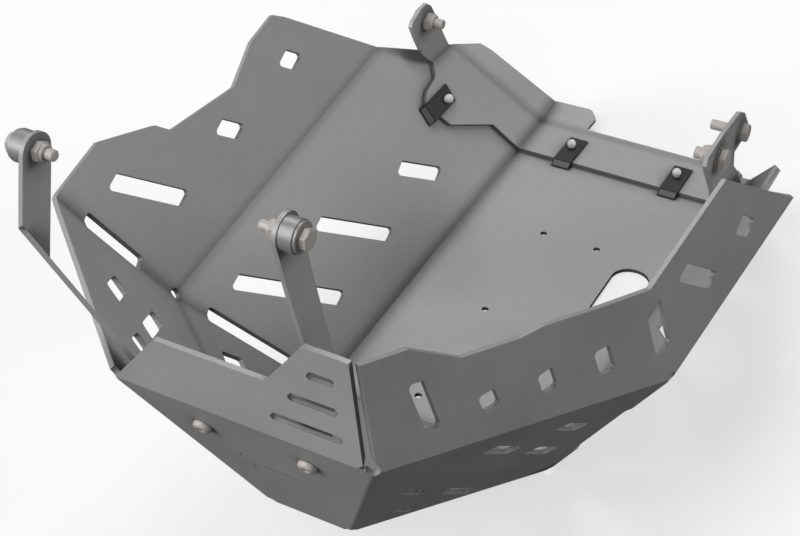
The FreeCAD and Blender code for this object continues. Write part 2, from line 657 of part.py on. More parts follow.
def left_bracket_panels():
    width = size("bar_width")
    outer_x = -size("left_bar_side")
    bolt = Vec(outer_x, -size("left_bolt_forward"), size("left_bolt_height"))
    lean = math.radians(size("left_bar_lean"))
    upward = Vec(0, math.sin(lean), math.cos(lean))
    forward = Vec(0, -math.cos(lean), math.sin(lean))
    down_nose = nose.across
    fold_middle = bolt - upward * size("left_bend_drop")
    fold_half = width / 2 / abs(down_nose.dot(forward))
    fold_top = fold_middle - down_nose * fold_half
    fold_low = fold_middle + down_nose * fold_half
    top = bolt + upward * size("bar_end")
    foot_side = -size("nose_screw_side") - size("left_foot_reach")
    foot_middle = size("nose_screw_drop")
    foot_top = nose.point(foot_side, foot_middle - fold_half, thick)
    foot_low = nose.point(foot_side, foot_middle + fold_half, thick)
    margin = size("foot_margin")
    foot_end = -size("nose_screw_side") + margin
    panels = {}
    panels["plate"] = Panel([fold_top, fold_low, top - forward * (width / 2), top + forward * (width / 2)],
                            Vec(-1, 0, 0), {0: "arm"})
    panels["arm"] = Panel([fold_top, fold_low, foot_low, foot_top],
                          plane_normal(fold_top, fold_low, foot_low), {0: "plate", 2: "foot"})
    panels["foot"] = Panel([foot_top, foot_low, nose.point(foot_end, foot_middle + margin, thick),
                            nose.point(foot_end, foot_middle - margin, thick)], nose.out, {0: "arm"})
    return panels, bolt


def bracket_shape(panels, bolt, screw_side):
    """Bar with its rounded upper end and the holes of its bolt and screw."""
    thickness = size("bar_thickness")
    bar = folded(panels, thickness)
    ends = []
    for edge in bar.Edges:
        start = edge.Vertexes[0].Point
        along = (edge.Vertexes[-1].Point - start).normalize()
        if abs(abs(along.x) - 1) < 1e-6 and start.z > bolt.z:
            ends.append(edge)
    bar = bar.makeFillet(size("bar_width") / 2 - 1, ends)
    gap = size("hole_clearance")
    bolt_hole = Part.makeCylinder(size("front_bolt_radius") + gap, 3 * thickness, bolt - Vec(thickness, 0, 0),
                                  Vec(1, 0, 0))
    screw_hole = nose.rod(screw_side, size("nose_screw_drop"), size("nose_screw_radius") + gap, 0, 4 * thick)
    return single(bar.cut([bolt_hole, screw_hole]))


RIGHT_BAR_REAR = [(-212, 172), (-196, 232), (-199, 253), (-214, 316)]
RIGHT_BAR_FRONT = [(-244, 329), (-231, 281), (-236, 232)]
RIGHT_FOOT_ABOVE = 15
RIGHT_FOOT_BELOW = 25


def right_bracket_panels():
    width = size("bar_width")
    outer_x = size("right_bar_side")
    bolt = Vec(outer_x, -size("right_bolt_forward"), size("right_bolt_height"))
    lean = -math.radians(size("right_bar_lean"))
    upward = Vec(0, math.sin(lean), math.cos(lean))
    forward = Vec(0, -math.cos(lean), math.sin(lean))
    top = bolt + upward * size("bar_end")
    drop = size("nose_screw_drop")
    margin = size("foot_margin")
    foot_top = nose.point(outer_x, drop - RIGHT_FOOT_ABOVE, thick)
    foot_low = nose.point(outer_x, drop + RIGHT_FOOT_BELOW, thick)
    foot_end = size("nose_screw_side") + margin
    corners = [foot_top, foot_low] + [Vec(outer_x, y, z) for y, z in RIGHT_BAR_REAR]
    corners += [top - forward * (width / 2), top + forward * (width / 2)]
    corners += [Vec(outer_x, y, z) for y, z in RIGHT_BAR_FRONT]
    panels = {}
    panels["plate"] = Panel(corners, Vec(-1, 0, 0), {0: "foot"})
    panels["foot"] = Panel([foot_top, foot_low, nose.point(foot_end, drop + RIGHT_FOOT_ABOVE, thick),
                            nose.point(foot_end, drop - margin, thick)], nose.out, {0: "plate"})
    return panels, bolt


def feature(label, shape):
    item = doc.addObject("Part::Feature", label)
    item.Shape = shape
    item.Label = label
    return item


NODES = {}
NODES["skid_plate"] = feature("skid_plate", guard)
NODES["rear_plate"] = feature("rear_plate", rear_plate_shape())
left_panels, left_bolt = left_bracket_panels()
NODES["front_left_bracket"] = feature(
    "front_left_bracket", bracket_shape(left_panels, left_bolt, -size("nose_screw_side")))
right_panels, right_bolt = right_bracket_panels()
NODES["front_right_bracket"] = feature(
    "front_right_bracket", bracket_shape(right_panels, right_bolt, size("nose_screw_side")))

# Fasteners, each built along its own +Z and then placed


def primitive(kind, name, **expressions):
    item = doc.addObject(kind, name)
    for key, expression in expressions.items():
        item.setExpression(key, expression)
    return item


def hexagon(name, width, height):
    item = primitive("Part::Prism", name, Circumradius=width + " / 2 / cos(30 deg)", Height=height)
    item.Polygon = 6
    return item


def lowered(item, expression):
    item.setExpression("Placement.Base.z", expression)
    return item


def joined(label, first, second):
    item = doc.addObject("Part::Fuse", label)
    item.Base = first
    item.Tool = second
    item.Label = label
    return item


def bored(label, outer, bore):
    item = doc.addObject("Part::Cut", label)
    item.Base = outer
    item.Tool = bore
    item.Label = label
    return item


def placed(item, point, direction):
    item.Placement = FreeCAD.Placement(point, FreeCAD.Rotation(Vec(0, 0, 1), direction))
    NODES[item.Label] = item
    return item


def hex_bolt(label, radius, width, height, grip, free):
    """Bolt with the bearing face of its head at the origin and its shank along +Z.

    Past the grip stands the free end: a smooth pilot, a little thinner, with a tapered tip."""
    taper = radius + " * 0.25"
    pilot_radius = radius + " - " + S + "pilot_step"
    start = grip + " + " + S + "pilot_gap"
    end = grip + " + " + free + " - " + taper
    head = lowered(hexagon(label + "_head", width, height), "-(" + height + ")")
    shank = primitive("Part::Cylinder", label + "_shank", Radius=radius, Height=start)
    pilot = primitive("Part::Cylinder", label + "_pilot", Radius=pilot_radius, Height=end)
    tip = primitive("Part::Cone", label + "_tip", Radius1=pilot_radius, Radius2=radius + " * 0.75", Height=taper)
    lowered(tip, end)
    body = joined(label + "_body", head, shank)
    return joined(label, joined(label + "_end", body, pilot), tip)


def ring(label, outer_radius, inner_radius, height):
    outer = primitive("Part::Cylinder", label + "_outer", Radius=outer_radius, Height=height)
    bore = primitive("Part::Cylinder", label + "_bore", Radius=inner_radius, Height=height)
    return bored(label, outer, bore)


def lock_nut(label, radius, width, height):
    """Hexagonal nut with a round collar at its outer end."""
    outer = hexagon(label + "_outer", width, height + " * 0.72")
    collar = primitive("Part::Cylinder", label + "_collar", Radius=width + " * 0.45", Height=height)
    bore = primitive("Part::Cylinder", label + "_bore", Radius=radius, Height=height)
    return bored(label, joined(label + "_body", outer, collar), bore)


def button_screw(label, radius, head_radius, head_height, length):
    """Low round-headed screw with a hexagonal socket."""
    head = lowered(primitive("Part::Cone", label + "_head", Radius1=head_radius + " * 0.6",
                             Radius2=head_radius, Height=head_height), "-(" + head_height + ")")
    shank = primitive("Part::Cylinder", label + "_shank", Radius=radius, Height=length)
    body = joined(label + "_body", head, shank)
    socket = lowered(hexagon(label + "_socket", radius + " * 1.2", head_height + " * 0.6"),
                     "-(" + head_height + ")")
    return bored(label, body, socket)


def domed_screw(label, radius, head_radius, head_height, length):
    """Screw with a round head that ends in a half ball."""
    dome = doc.addObject("Part::Ellipsoid", label + "_dome")
    dome.setExpression("Radius1", head_radius)
    dome.setExpression("Radius2", head_radius)
    dome.setExpression("Radius3", head_radius)
    dome.Angle1 = -90
    dome.Angle2 = 0
    lowered(dome, "-(" + head_height + ")")
    head = primitive("Part::Cylinder", label + "_head", Radius=head_radius, Height=head_height)
    lowered(head, "-(" + head_height + ")")
    shank = primitive("Part::Cylinder", label + "_shank", Radius=radius, Height=length)
    return joined(label, joined(label + "_body", dome, head), shank)


S = "Sizes."
clearance = " + " + S + "hole_clearance"
bar = size("bar_thickness")
spacer = size("spacer_length")
washer = size("washer_thickness")
right = Vec(1, 0, 0)
left = Vec(-1, 0, 0)

# Front brackets: head, washer, spacer, bar, nut and bolt end

front_grip = S + "washer_thickness + " + S + "spacer_length + " + S + "bar_thickness + " + S + "front_nut_height"
front_fastenings = [("front_left", left_bolt, left_bolt + right * bar, right),
                    ("front_right", right_bolt + right * bar, right_bolt, left)]
for name, spacer_end, nut_end, toward_nut in front_fastenings:
    placed(hex_bolt(name + "_bolt", S + "front_bolt_radius", S + "front_head_width", S + "front_head_height",
                    front_grip, S + "stud_tip"), spacer_end - toward_nut * (spacer + washer), toward_nut)
    placed(ring(name + "_washer", S + "washer_radius", S + "front_bolt_radius" + clearance,
                S + "washer_thickness"), spacer_end - toward_nut * (spacer + washer), toward_nut)
    placed(ring(name + "_spacer", S + "spacer_radius", S + "front_bolt_radius" + clearance,
                S + "spacer_length"), spacer_end - toward_nut * spacer, toward_nut)
    placed(lock_nut(name + "_nut", S + "front_bolt_radius", S + "front_head_width", S + "front_nut_height"),
           nut_end, toward_nut)

# Left rear lug: head and washer outside, nut inside

lug_point = lug_left.point(LEFT_LUG_BOLT[0], LEFT_LUG_BOLT[1])
lug_in = lug_left.out * -1
lug_grip = S + "washer_thickness + " + S + "sheet_thickness"
placed(hex_bolt("rear_left_bolt", S + "bolt_radius", S + "bolt_head_width", S + "bolt_head_height",
                lug_grip + " + " + S + "nut_height", S + "lug_stud_tip"), lug_point - lug_in * washer, lug_in)
placed(ring("rear_left_washer", S + "washer_radius", S + "bolt_radius" + clearance, S + "washer_thickness"),
       lug_point - lug_in * washer, lug_in)
placed(lock_nut("rear_left_nut", S + "bolt_radius", S + "bolt_head_width", S + "nut_height"),
       lug_point + lug_in * thick, lug_in)

# Right rear lug: a large bolt with its nut inside, and an upper bolt whose end stands free

lug_side = size("right_lug_side") + thick / 2
lower_bolt = Vec(lug_side, RIGHT_LUG_BOLT[0], RIGHT_LUG_BOLT[1])
upper_bolt = Vec(lug_side, RIGHT_LUG_UPPER_BOLT[0], RIGHT_LUG_UPPER_BOLT[1])
placed(hex_bolt("rear_right_bolt", S + "rear_bolt_radius", S + "rear_head_width", S + "rear_head_height",
                lug_grip + " + " + S + "rear_nut_height", S + "stud_tip"), lower_bolt + right * washer, left)
placed(ring("rear_right_washer", S + "rear_washer_radius", S + "rear_bolt_radius" + clearance,
            S + "washer_thickness"), lower_bolt, right)
placed(lock_nut("rear_right_nut", S + "rear_bolt_radius", S + "rear_head_width", S + "rear_nut_height"),
       lower_bolt - right * thick, left)
placed(hex_bolt("rear_right_upper_bolt", S + "bolt_radius", S + "bolt_head_width", S + "bolt_head_height",
                lug_grip, S + "upper_bolt_end"), upper_bolt + right * washer, left)
placed(ring("rear_right_upper_washer", S + "washer_radius", S + "bolt_radius" + clearance,
            S + "washer_thickness"), upper_bolt, right)

# Screws of the nose, each with a nut behind the foot of its bracket

nose_in = nose.out * -1
nose_length = S + "sheet_thickness + " + S + "bar_thickness + " + S + "nose_nut_height + " + S + "nose_screw_tip"
for name, side in (("left", -1), ("right", 1)):
    where = side * size("nose_screw_side")
    placed(button_screw("nose_%s_screw" % name, S + "nose_screw_radius", S + "nose_screw_radius * 1.75",
                        S + "nose_screw_radius * 1.1", nose_length),
           nose.point(where, size("nose_screw_drop")), nose_in)
    placed(lock_nut("nose_%s_nut" % name, S + "nose_screw_radius", S + "nose_nut_width", S + "nose_nut_height"),
           nose.point(where, size("nose_screw_drop"), thick + bar), nose_in)

# Edge clips on the rear plate, each a leaf with a lip over the plate's front edge, and their screws


def edge_clip(label, reach):
    leaf = primitive("Part::Box", label + "_leaf", Length=S + "clip_width", Width=S + "clip_length",
                     Height=S + "clip_thickness")
    leaf.setExpression("Placement.Base.x", "-" + S + "clip_width / 2")
    lip = primitive("Part::Box", label + "_lip", Length=S + "clip_width", Width=S + "clip_thickness",
                    Height="%s + %s - %s" % (S + "sheet_thickness", S + "clip_thickness", SKIN_GAP))
    lip.setExpression("Placement.Base.x", "-" + S + "clip_width / 2")
    lowered(lip, "%s - %s" % (SKIN_GAP, S + "sheet_thickness"))
    body = joined(label + "_body", leaf, lip)
    hole = primitive("Part::Cylinder", label + "_hole", Radius=S + "clip_screw_radius",
                     Height=S + "clip_thickness")
    hole.Placement.Base = Vec(reach[0], reach[1], 0)
    return bored(label, body, hole)


for name, frame, across, edge, reach in CLIPS:
    start = edge - CLIP_GAP - size("clip_thickness")
    foot = clip_point(frame, across, start, 2 * thick)
    screw = clip_point(frame, across + SCREW_OFFSET, edge + reach, 2 * thick)
    inward = frame.out * -1
    run = (clip_point(frame, across, edge, 2 * thick) - foot).normalize()
    sideways = run.cross(inward)
    clip = edge_clip("%s_clip" % name, ((screw - foot).dot(sideways), (screw - foot).dot(run)))
    clip.Placement = FreeCAD.Placement(foot, FreeCAD.Rotation(sideways, run, inward, "ZXY"))
    NODES[clip.Label] = clip
    placed(domed_screw("%s_clip_screw" % name, S + "clip_screw_radius", S + "dome_radius", S + "dome_height",
                       "%s + %s - %s" % (S + "clip_thickness", S + "sheet_thickness", SKIN_GAP)),
           screw + inward * size("clip_thickness"), frame.out)

# Move every node so that the middle of the six floor holes is the origin

doc.recompute()
middle_of_holes = Vec(0, size("floor_hole_first") + size("floor_hole_pitch"), 0)
for item in NODES.values():
    item.Placement = FreeCAD.Placement(item.Placement.Base - middle_of_holes, item.Placement.Rotation)
doc.recompute()

# Check everything before writing anything

for item in doc.Objects:
    if "Invalid" in item.State or "Error" in item.State:
        raise RuntimeError("%s could not be worked out" % item.Label)
for label, item in NODES.items():
    if item.Shape.isNull() or not item.Shape.isValid():
        raise RuntimeError("%s has no valid shape" % label)

os.makedirs("parts", exist_ok=True)
for label, item in NODES.items():
    item.Shape.exportStep("parts/%s.step" % label)
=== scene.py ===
import math

import bmesh
import bpy
from mathutils import Matrix, Vector


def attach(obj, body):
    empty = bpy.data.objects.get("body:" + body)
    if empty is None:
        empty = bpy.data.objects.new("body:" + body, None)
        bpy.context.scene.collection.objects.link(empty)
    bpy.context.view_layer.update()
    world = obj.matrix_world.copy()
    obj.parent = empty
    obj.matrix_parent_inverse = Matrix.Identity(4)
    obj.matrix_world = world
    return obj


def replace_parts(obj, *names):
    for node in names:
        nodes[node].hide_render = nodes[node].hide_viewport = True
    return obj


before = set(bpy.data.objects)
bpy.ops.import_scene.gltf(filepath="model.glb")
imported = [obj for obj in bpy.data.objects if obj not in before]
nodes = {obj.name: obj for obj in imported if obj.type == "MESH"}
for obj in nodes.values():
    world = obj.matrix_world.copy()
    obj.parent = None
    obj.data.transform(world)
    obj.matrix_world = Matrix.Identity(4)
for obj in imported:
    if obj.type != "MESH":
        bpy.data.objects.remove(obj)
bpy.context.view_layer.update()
scene = bpy.context.scene
MILLIMETRE = 0.001

# Camera, fitted to the photograph, whose optical axis falls a little right of its middle

CAMERA_PLACE = Vector((0.4436, -1.0007, 0.9203))
CAMERA_AZIMUTH = math.radians(27.27)
CAMERA_HEIGHT = math.radians(37.94)
PHOTO_WIDTH = 800
FOCAL_PIXELS = 1511
SENSOR_WIDTH = 36.0
AXIS_RIGHT_OF_MIDDLE = 44.7
AXIS_ABOVE_MIDDLE = 3.8


def make_camera():
    data = bpy.data.cameras.new("camera")
    data.sensor_width = SENSOR_WIDTH
    data.lens = FOCAL_PIXELS / PHOTO_WIDTH * SENSOR_WIDTH
    data.shift_x = -AXIS_RIGHT_OF_MIDDLE / PHOTO_WIDTH
    data.shift_y = -AXIS_ABOVE_MIDDLE / PHOTO_WIDTH
    data.clip_start = 0.05
    camera = bpy.data.objects.new("camera", data)
    scene.collection.objects.link(camera)
    right = Vector((math.cos(CAMERA_AZIMUTH), math.sin(CAMERA_AZIMUTH), 0.0))
    back = Vector((math.sin(CAMERA_AZIMUTH) * math.cos(CAMERA_HEIGHT),
                   -math.cos(CAMERA_AZIMUTH) * math.cos(CAMERA_HEIGHT),
                   math.sin(CAMERA_HEIGHT)))
    up = back.cross(right)
    turn = Matrix((right, up, back)).transposed().to_4x4()
    camera.matrix_world = Matrix.Translation(CAMERA_PLACE) @ turn
    scene.camera = camera


make_camera()

# Materials

# Sockets of a colour mix
MIX_FIRST = 6
MIX_SECOND = 7
MIX_COLOUR = 2


class Tree:
    """The node tree of a new material, with its shader and output in place."""

    def __init__(self, name):
        self.material = bpy.data.materials.new(name)
        self.material.use_nodes = True
        self.tree = self.material.node_tree
        self.tree.nodes.clear()
        self.shader = self.node("ShaderNodeBsdfPrincipled")
        output = self.node("ShaderNodeOutputMaterial")
        self.link(self.shader, "BSDF", output, "Surface")
        self.place = self.node("ShaderNodeTexCoord")

    def node(self, kind, **values):
        made = self.tree.nodes.new(kind)
        for name, value in values.items():
            setattr(made, name, value)
        return made

    def link(self, source, output, target, entry):
        self.tree.links.new(source.outputs[output], target.inputs[entry])

    def noise(self, scale, detail, roughness=0.5, stretch=(1.0, 1.0, 1.0)):
        """Noise over the place on the object, finer along an axis with a larger stretch."""
        mapping = self.node("ShaderNodeMapping")
        mapping.inputs["Scale"].default_value = stretch
        self.link(self.place, "Object", mapping, "Vector")
        made = self.node("ShaderNodeTexNoise")
        made.inputs["Scale"].default_value = scale
        made.inputs["Detail"].default_value = detail
        made.inputs["Roughness"].default_value = roughness
        self.link(mapping, "Vector", made, "Vector")
        return made

    def range(self, value, low, high, target_low=0.0, target_high=1.0, blend="LINEAR"):
        """Value of a socket moved from one range to another, and held to its ends."""
        made = self.node("ShaderNodeMapRange", interpolation_type=blend)
        self.tree.links.new(value, made.inputs["Value"])
        made.inputs["From Min"].default_value = low
        made.inputs["From Max"].default_value = high
        made.inputs["To Min"].default_value = target_low
        made.inputs["To Max"].default_value = target_high
        return made.outputs["Result"]

    def mixed(self, factor, low, high):
        """Colour between two fixed ones."""
        made = self.node("ShaderNodeMix", data_type="RGBA")
        self.tree.links.new(factor, made.inputs[0])
        made.inputs[MIX_FIRST].default_value = (*low, 1.0)
        made.inputs[MIX_SECOND].default_value = (*high, 1.0)
        return made.outputs[MIX_COLOUR]

    def multiplied(self, colour, tone):
        """Colour times a tone."""
        made = self.node("ShaderNodeMix", data_type="RGBA", blend_type="MULTIPLY")
        made.inputs[0].default_value = 1.0
        self.tree.links.new(colour, made.inputs[MIX_FIRST])
        self.tree.links.new(tone, made.inputs[MIX_SECOND])
        return made.outputs[MIX_COLOUR]

    def sum(self, kind, operation, first, second, output=0):
        """Output of a sum of numbers or vectors, whose entries are sockets or fixed values."""
        made = self.node(kind, operation=operation)
        for index, entry in enumerate((first, second)):
            if isinstance(entry, (float, tuple)):
                made.inputs[index].default_value = entry
            else:
                self.tree.links.new(entry, made.inputs[index])
        return made.outputs[output]

    def scaled(self, direction, length):
        """Fixed direction times a length from a socket."""
        made = self.node("ShaderNodeVectorMath", operation="SCALE")
        made.inputs[0].default_value = direction
        self.tree.links.new(length, made.inputs["Scale"])
        return made.outputs[0]

    def bump(self, height, strength, distance, below):
        made = self.node("ShaderNodeBump")
        made.inputs["Strength"].default_value = strength
        made.inputs["Distance"].default_value = distance
        self.tree.links.new(height, made.inputs["Height"])
        self.link(below, "Normal", made, "Normal")
        return made


def grey(value, warm=0.0):
    return (value * (1.0 + warm), value, value * (1.0 - warm))


# Hollow sides of the folds of the guard and the rear plate, along which shade is painted: both ends of
# each, in millimetres
GUARD_FOLDS = [
    ((-107.9, -162.0, 4.0), (-117.9, 308.0, 4.0)), ((117.9, 308.0, 4.0), (107.9, -162.0, 4.0)),
    ((-107.0, -160.9, 2.7), (-196.3, -244.9, 136.5)), ((-195.7, -245.9, 135.7), (-222.2, 147.1, 162.3)),
    ((201.0, -157.8, 140.7), (218.0, 93.2, 157.7)), ((-195.8, -244.5, 135.8), (-240.6, -311.5, 263.0)),
    ((-99.7, -428.6, 239.1), (-33.7, -355.6, 81.1)), ((-32.7, -356.8, 81.4), (-197.0, -243.8, 136.2)),
    ((-33.8, -357.1, 82.6), (-108.8, -160.1, 3.6)), ((-35.0, -356.0, 82.1), (35.0, -356.0, 82.1)),
    ((33.3, -356.9, 82.5), (108.3, -159.9, 3.5)), ((99.3, -428.6, 239.3), (33.3, -355.6, 81.3)),
    ((110.0, -161.2, 4.0), (-110.0, -161.2, 4.0)), ((-101.0, -428.0, 237.9), (101.0, -428.0, 237.9)),
    ((106.7, -161.0, 2.2), (201.9, -157.0, 142.0)), ((97.3, -430.3, 237.9), (201.5, -156.3, 140.6)),
    ((183.6, -180.2, 237.0), (201.3, -157.2, 139.2)),
]
PLATE_FOLDS = [
    ((-114.7, 260.0, 8.0), (-116.1, 322.0, 8.0)), ((-118.2, 321.4, 8.0), (118.2, 321.4, 8.0)),
    ((116.1, 322.0, 8.0), (114.7, 260.0, 8.0)), ((-191.6, 206.3, 122.5), (-191.4, 251.3, 120.9)),
    ((-192.0, 250.9, 121.7), (-114.7, 321.6, 6.1)), ((-115.9, 320.7, 7.8), (-112.9, 353.5, 16.6)),
]

# Point inside the guard that the hollow side of every facet looks at
MIDDLE_INSIDE = (0.0, -0.101, 0.18)

# Painted shade in the hollow of a fold and in corners: how far it reaches, and its tone where it is
# darkest
FOLD_SHADE_REACH = 0.010
FOLD_SHADE_TONE = 0.76
CORNER_SHADE_REACH = 0.02
CORNER_SHADE_TONE = 0.5

# Share of open sky where the painted shade of a corner is darkest, and where it stops
CORNER_SHUT = 0.84
CORNER_OPEN = 0.995
EDGE_ROUND = 0.0006

# How far roughness swings about its middle, and the tone of specks on either side of 1
ROUGHNESS_SWING = 0.05
SPECK_SWING = 0.05


def fold_shade(made, folds):
    """Painted shade in the hollow of each fold, on the hollow side only: 1 away from it, the fold's
    darkest shade tone in it.
    """
    place = made.place.outputs["Object"]
    number, vector = "ShaderNodeMath", "ShaderNodeVectorMath"
    shade = 1.0
    for start, end in folds:
        first = Vector(start) * MILLIMETRE
        run = Vector(end) * MILLIMETRE - first
        direction = tuple(run.normalized())
        offset = made.sum(vector, "SUBTRACT", place, tuple(first))
        along = made.sum(vector, "DOT_PRODUCT", offset, direction, "Value")
        held = made.range(along, 0.0, run.length, 0.0, run.length)
        away = made.sum(vector, "DISTANCE", offset, made.scaled(direction, held), "Value")
        tone = made.range(away, 0.0, FOLD_SHADE_REACH, FOLD_SHADE_TONE, 1.0, "SMOOTHSTEP")
        shade = made.sum(number, "MULTIPLY", tone, shade)
    inward = made.sum(vector, "SUBTRACT", MIDDLE_INSIDE, place)
    facing = made.sum(vector, "DOT_PRODUCT", made.place.outputs["Normal"], inward, "Value")
    outside = made.sum(number, "LESS_THAN", facing, 0.0)
    return made.sum(number, "MAXIMUM", shade, outside)


def blasted(name, colour, metallic, roughness, grain=0.00002, mottle=0.04, streak=0.015, corners=True,
            folds=()):
    """Blasted and anodised metal: fine grain, faint rolling streaks, and painted shade in inner corners
    and folds.
    """
    made = Tree(name)
    clouds = made.noise(14.0, 4.0, 0.55)
    lines = made.noise(60.0, 3.0, 0.6, stretch=(6.0, 0.35, 6.0))
    specks = made.noise(1900.0, 2.0, 0.7)
    light = tuple(min(1.0, c * (1.0 + mottle)) for c in colour)
    dark = tuple(c * (1.0 - mottle) for c in colour)
    base = made.mixed(made.range(clouds.outputs["Fac"], 0.32, 0.68), dark, light)
    lined = made.multiplied(base, made.range(lines.outputs["Fac"], 0.3, 0.7, 1.0 - streak, 1.0 + streak))
    flecks = made.range(specks.outputs["Fac"], 0.3, 0.7, 1.0 - SPECK_SWING, 1.0 + SPECK_SWING)
    tinted = made.multiplied(lined, flecks)
    # Painted shade: base colour darkened in inner corners from ambient occlusion, and in the hollows of
    # folds
    if corners:
        corner = made.node("ShaderNodeAmbientOcclusion", samples=8)
        corner.inputs["Distance"].default_value = CORNER_SHADE_REACH
        tone = made.range(corner.outputs["AO"], CORNER_SHUT, CORNER_OPEN, CORNER_SHADE_TONE, 1.0)
        if folds:
            tone = made.sum("ShaderNodeMath", "MULTIPLY", tone, fold_shade(made, folds))
        tinted = made.multiplied(tinted, tone)
    made.tree.links.new(tinted, made.shader.inputs["Base Color"])
    made.shader.inputs["Metallic"].default_value = metallic
    low, high = roughness - ROUGHNESS_SWING, roughness + ROUGHNESS_SWING
    rough = made.range(clouds.outputs["Fac"], 0.3, 0.7, low, high)
    made.tree.links.new(rough, made.shader.inputs["Roughness"])
    rounded = made.node("ShaderNodeBevel", samples=4)
    rounded.inputs["Radius"].default_value = EDGE_ROUND
    made.link(made.bump(specks.outputs["Fac"], 0.5, grain, rounded), "Normal", made.shader, "Normal")
    return made.material


sheet = blasted("sheet_blasted", grey(0.36), 0.25, 0.55, folds=GUARD_FOLDS)
rear_sheet = blasted("rear_sheet_blasted", grey(0.37), 0.25, 0.55, folds=PLATE_FOLDS)
bracket = blasted("bracket_satin", grey(0.36), 0.2, 0.5)
spacer = blasted("spacer_turned", grey(0.29), 0.35, 0.45, corners=False)
washer = blasted("washer_plain", grey(0.3, 0.02), 0.3, 0.45, corners=False)
steel = blasted("fastener_stainless", (0.46, 0.43, 0.405), 0.15, 0.5, grain=0.00001, corners=False)
dome = blasted("dome_bright", grey(0.85), 0.1, 0.5, grain=0.00001, corners=False)
clip_black = blasted("clip_black", grey(0.005), 0.0, 0.6, mottle=0.25, streak=0.1, corners=False)
# Lighter grey for the lip panel of the black clip: a painted reflection
clip_painted_reflection = blasted("clip_painted_reflection", grey(0.12), 0.1, 0.5, mottle=0.1, corners=False)

NODE_LOOKS = {
    "skid_plate": sheet,
    "rear_plate": rear_sheet,
    "front_left_bracket": bracket,
    "front_right_bracket": bracket,
    "front_left_spacer": spacer,
    "front_right_spacer": spacer,
    "front_left_washer": washer,
    "front_right_washer": washer,
    "rear_left_washer": washer,
    "rear_right_washer": washer,
    "rear_right_upper_washer": washer,
}

for name, piece in nodes.items():
    look = NODE_LOOKS.get(name, steel)
    for slot in piece.material_slots:
        slot.material = look

# Fasteners, turned about their own axis, in millimetres from the place of their bearing face

TURN_STEPS = 48
CHAMFER = math.tan(math.radians(28))
SHARP_ANGLE = math.radians(30)

# Shares of a hexagon's half width: its chamfered end, and the washer face below it
CHAMFER_START = 0.96
WASHER_FACE = 0.95

# Height of the washer face, and how far a screw's end tapers along its length
WASHER_HEIGHT = 0.7
END_TAPER = 0.8

# Head radius of a button screw as a multiple of its shank's
BUTTON_HEAD = 1.75


def hexagon(flats, height):
    """Ring of a hexagon with a corner along the piece's own X."""
    def ring(angle):
        sixth = math.pi / 3
        return flats / 2 / math.cos(angle % sixth - sixth / 2), height
    return ring


def chamfered(flats, height, down):
    """Ring where the chamfer of a hexagon meets its sides. Its flat end is at height."""
    side = hexagon(flats, height)

    def ring(angle):
        reach = side(angle)[0]
        return reach, height + down * (reach - CHAMFER_START * flats / 2) * CHAMFER
    return ring


def thread(radius, start, end, pitch, depth):
    """Rings of a rounded thread between two heights."""
    count = int((end - start) / pitch)
    rings = []
    for index in range(count):
        low = start + index * pitch
        rings.append((radius, low + 0.25 * pitch))
        rings.append((radius - depth, low + 0.75 * pitch))
    return rings


def bolt_rings(radius, flats, head, grip, end, pitch):
    """Hexagonal head with a washer face, a plain grip and a thread."""
    face = WASHER_FACE * flats / 2
    rings = [(0.6 * flats / 2, -head), (CHAMFER_START * flats / 2, -head), chamfered(flats, -head, 1),
             hexagon(flats, -WASHER_HEIGHT), (face, -WASHER_HEIGHT), (face, 0), (radius, 0),
             (radius, grip)]
    rings += thread(radius, grip, end - END_TAPER, pitch, 0.12 * pitch)
    return rings + [(radius - 0.1, end - END_TAPER), (radius - END_TAPER, end)]


def nut_rings(radius, flats, height):
    """Lock nut: the first ring is joined to the last, which leaves the bore open."""
    neck = 0.72 * height
    return [(radius + 0.4, 0), (0.95 * flats / 2, 0), (0.95 * flats / 2, 0.5), hexagon(flats, 0.5),
            chamfered(flats, neck, -1), (0.93 * flats / 2, neck), (0.93 * flats / 2, height - 1.4),
            (0.88 * flats / 2, height - 0.5), (0.78 * flats / 2, height), (radius + 0.6, height),
            (radius + 0.1, height - 0.5), (radius + 0.1, 0.4)]


def button_rings(radius, socket, head, end):
    """Button head with a hexagonal socket on a plain shank."""
    top = -head
    wide = radius * BUTTON_HEAD
    return [hexagon(socket, top + 2.4), hexagon(socket, top + 0.3), hexagon(socket + 0.5, top + 0.05),
            (0.58 * wide, top), (0.75 * wide, top + 0.35), (0.89 * wide, top + 1.1),
            (0.97 * wide, top + 2.0), (wide, top + 3.1), (wide, -0.3),
            (wide - 0.3, 0), (radius, 0), (radius, end - END_TAPER), (radius - END_TAPER, end)]


def dome_rings(radius, ball, neck, end):
    """Screw whose head is a ball on a narrower neck."""
    rings = []
    for step in range(12):
        angle = math.radians(4 + step * 10.5)
        rings.append((ball * math.sin(angle), -neck - ball * math.cos(angle)))
    return rings + [(0.78 * ball, -0.4), (0.78 * ball, 0), (radius, 0), (radius, end)]


def turned(name, rings, place, axis, look, closed=False):
    """Piece of rings about an axis, with its own X upright where the axis lies level."""
    middle = Vector(place) * MILLIMETRE
    out = Vector(axis).normalized()
    guide = Vector((0, 0, 1)) if abs(out.z) < 0.9 else Vector((1, 0, 0))
    side = out.cross(guide).normalized()
    up = side.cross(out)
    points = []
    for ring in rings:
        for step in range(TURN_STEPS):
            angle = 2 * math.pi * step / TURN_STEPS
            radius, height = ring(angle) if callable(ring) else ring
            across = up * (radius * math.cos(angle)) + side * (radius * math.sin(angle))
            points.append(middle + (across + out * height) * MILLIMETRE)
    faces = []
    count = len(rings)
    for index in range(count if closed else count - 1):
        low, high = index * TURN_STEPS, (index + 1) % count * TURN_STEPS
        for step in range(TURN_STEPS):
            after = (step + 1) % TURN_STEPS
            faces.append((low + step, low + after, high + after, high + step))
    if not closed:
        faces.append(tuple(reversed(range(TURN_STEPS))))
        faces.append(tuple(range((count - 1) * TURN_STEPS, count * TURN_STEPS)))
    return dressed(name, points, faces, [look])


